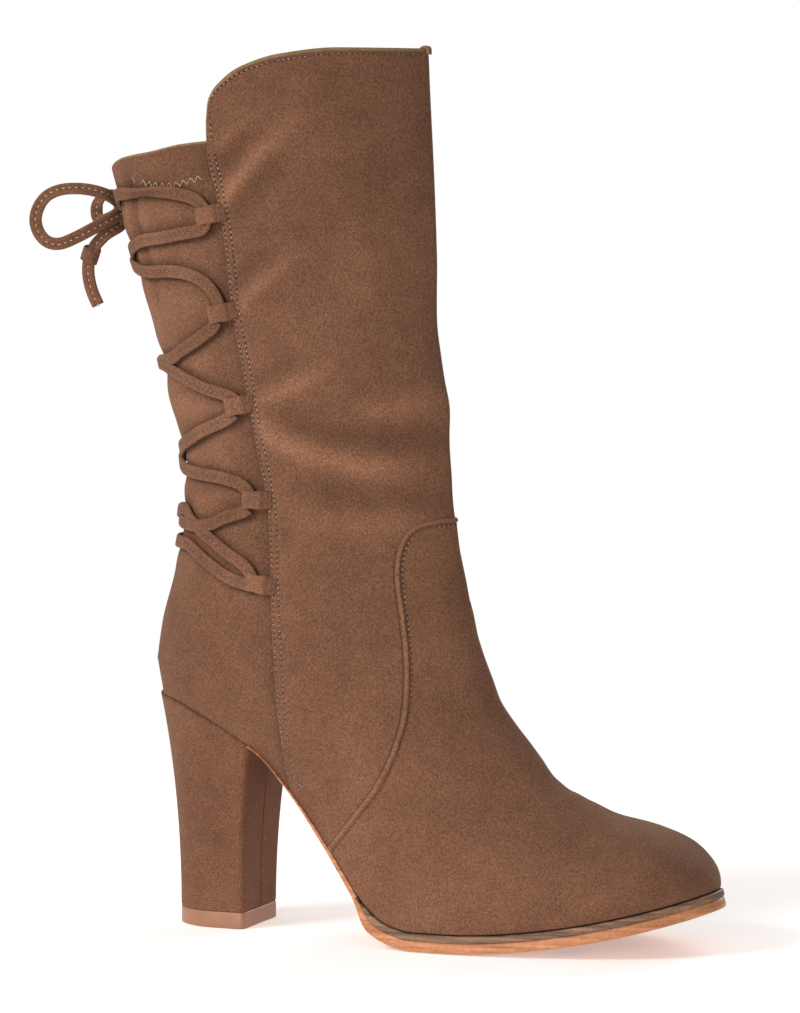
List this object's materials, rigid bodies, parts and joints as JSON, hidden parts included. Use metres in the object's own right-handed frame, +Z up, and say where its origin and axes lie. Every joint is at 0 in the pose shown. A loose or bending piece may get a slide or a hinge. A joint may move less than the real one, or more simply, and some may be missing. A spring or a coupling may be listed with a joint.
{
  "type": "ankle boot",
  "caption": "Ankle boot with a tapered block heel, a rounded toe and a lace that is crossed over a stretch gore at the back and tied in a bow.",
  "frame": {"origin": "middle of the heel tip's tread, on the floor", "axes": "+X from the heel to the toe, +Y to the inner (medial) side, +Z up"},
  "size_m": [0.2836, 0.0849, 0.3467],
  "materials": {
    "suede": "napped suede, taupe brown",
    "lace_suede": "folded suede strip",
    "lining": "smooth lining",
    "stacked_leather": "stacked edge, satin",
    "sole_leather": "waxed edge, satin",
    "heel_top_piece": "satin"
  },
  "bodies": {
    "root": {"upper": "suede", "insole": "lining", "midsole": "stacked_leather", "outsole": "sole_leather", "heel": "suede", "heel_tip": "heel_top_piece", "lace_loop_outer_1": "lace_suede", "lace_loop_outer_2": "lace_suede", "lace_loop_outer_3": "lace_suede", "lace_loop_outer_4": "lace_suede", "lace_loop_outer_5": "lace_suede", "lace_loop_inner_1": "lace_suede", "lace_loop_inner_2": "lace_suede", "lace_loop_inner_3": "lace_suede", "lace_loop_inner_4": "lace_suede", "lace_loop_inner_5": "lace_suede", "lace_crossing_1": "lace_suede", "lace_crossing_2": "lace_suede", "lace_crossing_3": "lace_suede", "lace_crossing_4": "lace_suede", "lace_bar_top": "lace_suede", "lace_bar_low": "lace_suede", "lace_knot": "lace_suede", "lace_bow_outer": "lace_suede", "lace_bow_inner": "lace_suede", "lace_end_outer": "lace_suede", "lace_tail_outer": "lace_suede", "lace_end_inner": "lace_suede", "lace_tail_inner": "lace_suede", "lace_tip_knot_outer": "lace_suede", "lace_tip_knot_inner": "lace_suede"}
  },
  "joints": []
}
